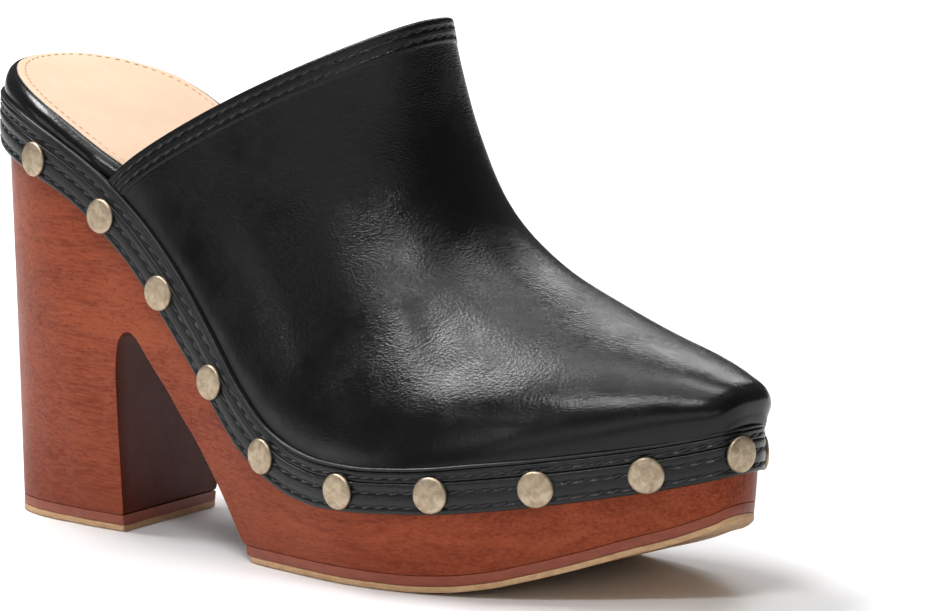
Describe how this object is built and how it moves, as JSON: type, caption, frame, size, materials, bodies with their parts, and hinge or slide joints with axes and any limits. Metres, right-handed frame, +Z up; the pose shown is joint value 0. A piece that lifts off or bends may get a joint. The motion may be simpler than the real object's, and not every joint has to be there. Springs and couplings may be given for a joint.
{
  "type": "platform clog",
  "caption": "Right-foot high-heeled platform clog mule: carved wooden sole with block heel and arch, black leather upper nailed on through a stitched rand with domed studs.",
  "frame": {"origin": "centre of the shoe's bounding box in plan, on the ground plane it stands on", "axes": "+X from heel to toe, +Y towards the medial (inner) side of this right shoe, +Z up"},
  "size_m": [0.2272, 0.0871, 0.1307],
  "materials": {
    "wood": "oiled reddish mahogany stain, satin",
    "sole_edge_brown": "dark brown stained edge, satin",
    "outsole_tan": "tan, matt",
    "rand_leather": "black, smooth, stitched",
    "insole_board": "pressed fibre board, matt",
    "footbed_leather": "black, smooth, soft sheen",
    "sock_leather": "natural pale tan, matt",
    "upper_leather": "black, smooth calf with fine grain, semi gloss",
    "stiffener": "off-white stiffener, matt",
    "lining_leather": "black lining, matt",
    "stud_metal": "antique brass, brushed and slightly tarnished",
    "nail_steel": "steel, satin"
  },
  "bodies": {
    "root": {"wooden_sole": "wood", "heel_lift": "sole_edge_brown", "heel_top_piece": "outsole_tan", "forepart_midsole": "sole_edge_brown", "forepart_outsole": "outsole_tan", "rand_lower": "rand_leather", "rand_piping": "rand_leather", "insole_board": "insole_board", "footbed_cushion": "footbed_leather", "insole_sock": "sock_leather", "upper_vamp": "upper_leather", "toe_puff": "stiffener", "upper_lining": "lining_leather", "stud_01": "stud_metal", "stud_02": "stud_metal", "stud_03": "stud_metal", "stud_04": "stud_metal", "stud_05": "stud_metal", "stud_06": "stud_metal", "stud_07": "stud_metal", "stud_08": "stud_metal", "stud_09": "stud_metal", "stud_10": "stud_metal", "stud_11": "stud_metal", "stud_12": "stud_metal", "stud_13": "stud_metal", "stud_14": "stud_metal", "stud_15": "stud_metal", "stud_16": "stud_metal", "stud_17": "stud_metal", "stud_18": "stud_metal", "stud_19": "stud_metal", "heel_nail_1": "nail_steel", "heel_nail_2": "nail_steel", "heel_nail_3": "nail_steel", "heel_nail_4": "nail_steel"}
  },
  "joints": []
}
